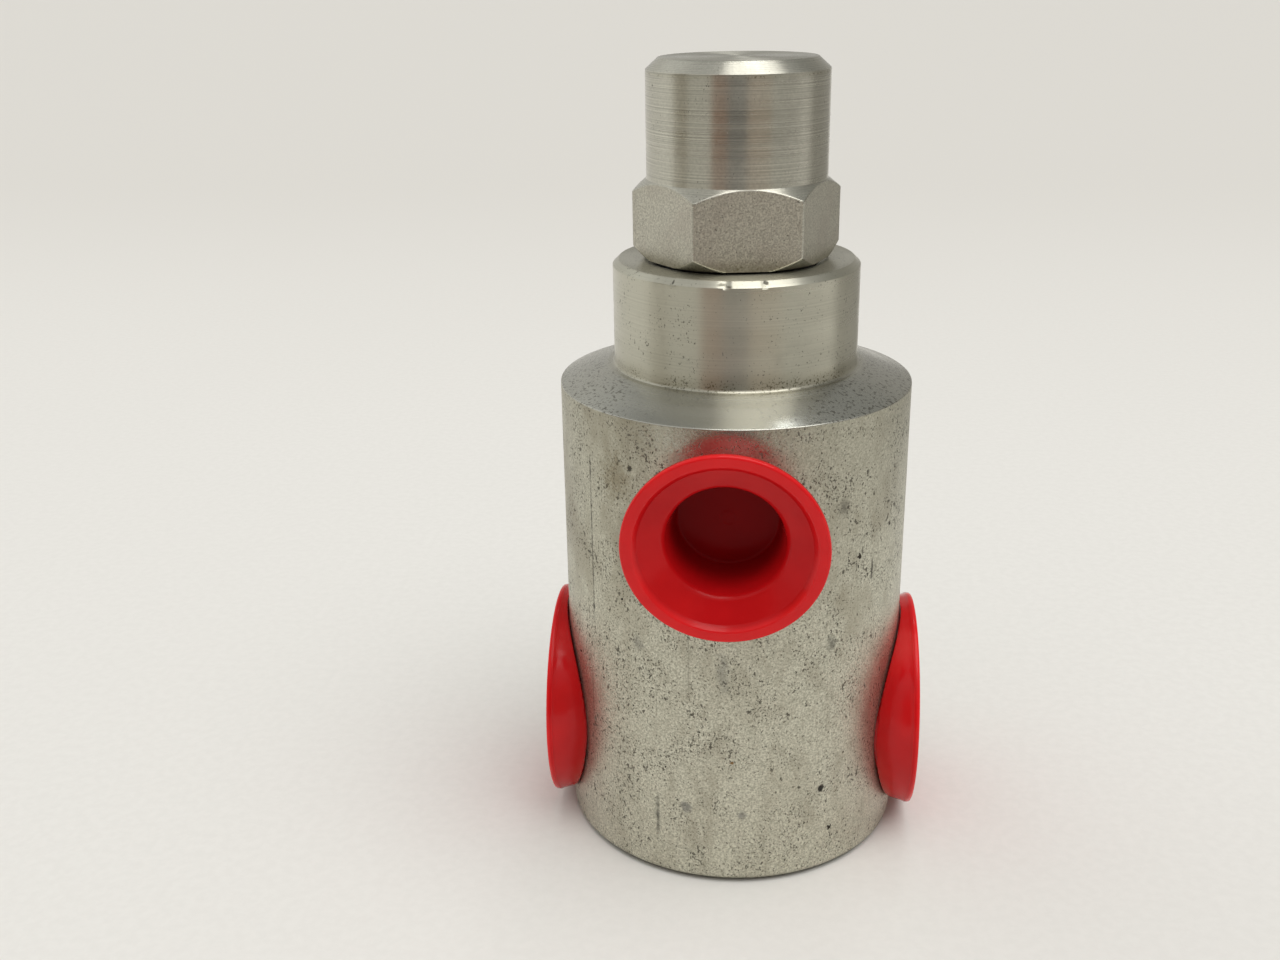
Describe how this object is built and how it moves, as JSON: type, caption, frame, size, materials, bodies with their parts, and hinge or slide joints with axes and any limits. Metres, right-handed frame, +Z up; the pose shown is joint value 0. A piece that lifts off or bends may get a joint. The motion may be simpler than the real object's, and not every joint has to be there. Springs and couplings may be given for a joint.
{
  "type": "relief valve in a line body",
  "caption": "Round bar line body with a screw-in relief cartridge under a hexagonal cap, and push-in plugs in its three ports.",
  "frame": {"origin": "centre of the flat base, on the body's axis", "axes": "+Z up the body's axis to the cap, -Y out of the tank port, X along the pressure gallery through the side ports"},
  "size_m": [0.0552, 0.0558, 0.1146],
  "materials": {
    "drawn_bar": "zinc-plated drawn bar, matt and finely pitted",
    "plated_cap": "zinc-plated, fine turned",
    "plated_steel": "zinc-plated",
    "hardened_steel": "ground",
    "black_steel": "black oxide",
    "spring_steel": "drawn wire",
    "black_rubber": "moulded",
    "white_plastic": "turned PTFE",
    "red_plastic": "moulded polyethylene, semi-gloss"
  },
  "bodies": {
    "valve_body": {"line_body": "drawn_bar", "cartridge_gland": "plated_steel", "gland_o_ring": "black_rubber", "cartridge_sleeve": "plated_steel", "valve_seat": "hardened_steel", "sleeve_o_ring": "black_rubber", "sleeve_backup_upper": "white_plastic", "sleeve_backup_lower": "white_plastic", "setting_spring": "spring_steel"},
    "cap_seal_ring": {"cap_seal": "black_rubber"},
    "cap": {"cap": "plated_cap"},
    "lock_washer": {"lock_washer": "white_plastic"},
    "lock_nut": {"lock_nut": "plated_steel"},
    "spring_button": {"spring_button": "hardened_steel", "button_o_ring": "black_rubber"},
    "adjusting_screw": {"adjusting_screw": "black_steel"},
    "poppet": {"poppet": "hardened_steel", "spring_guide": "hardened_steel"},
    "front_plug": {"front_port_plug": "red_plastic"},
    "left_plug": {"left_port_plug": "red_plastic"},
    "right_plug": {"right_port_plug": "red_plastic"}
  },
  "joints": [
    {"name": "cap_lift", "type": "slide", "parent": "valve_body", "child": "cap_seal_ring", "axis": [0, 0, 1], "range_m": [0, 0.0254]},
    {"name": "cap_turn", "type": "hinge", "parent": "cap_seal_ring", "child": "cap", "pos_m": [0, 0, 0.0878], "axis": [0, 0, 1], "range_deg": [0, 5760]},
    {"name": "nut_lift", "type": "slide", "parent": "valve_body", "child": "lock_washer", "axis": [0, 0, 1], "range_m": [0, 0.00106]},
    {"name": "nut_turn", "type": "hinge", "parent": "lock_washer", "child": "lock_nut", "pos_m": [0, 0, 0.1014], "axis": [0, 0, 1], "range_deg": [0, 360]},
    {"name": "setting_lift", "type": "slide", "parent": "valve_body", "child": "spring_button", "axis": [0, 0, 1], "range_m": [-0.00423, 0.00106], "deforming": ["setting_spring"]},
    {"name": "setting_turn", "type": "hinge", "parent": "spring_button", "child": "adjusting_screw", "pos_m": [0, 0, 0.0842], "axis": [0, 0, 1], "range_deg": [-1440, 360]},
    {"name": "poppet_lift", "type": "slide", "parent": "valve_body", "child": "poppet", "axis": [0, 0, 1], "range_m": [0, 0.0025], "stiffness_N_per_m": 200, "springref_m": -0.0005, "deforming": ["setting_spring"]},
    {"name": "front_plug_pull", "type": "slide", "parent": "valve_body", "child": "front_plug", "axis": [-0.0174, -0.9952, -0.0958], "range_m": [0, 0.02]},
    {"name": "left_plug_pull", "type": "slide", "parent": "valve_body", "child": "left_plug", "axis": [-1, 0, 0], "range_m": [0, 0.02]},
    {"name": "right_plug_pull", "type": "slide", "parent": "valve_body", "child": "right_plug", "axis": [1, 0, 0], "range_m": [0, 0.02]}
  ],
  "couplings": [
    {"joint": "cap_turn", "follows": "cap_lift", "rad_per_m": 3957.9},
    {"joint": "nut_turn", "follows": "nut_lift", "rad_per_m": 5936.9},
    {"joint": "setting_turn", "follows": "setting_lift", "rad_per_m": 5936.9}
  ]
}
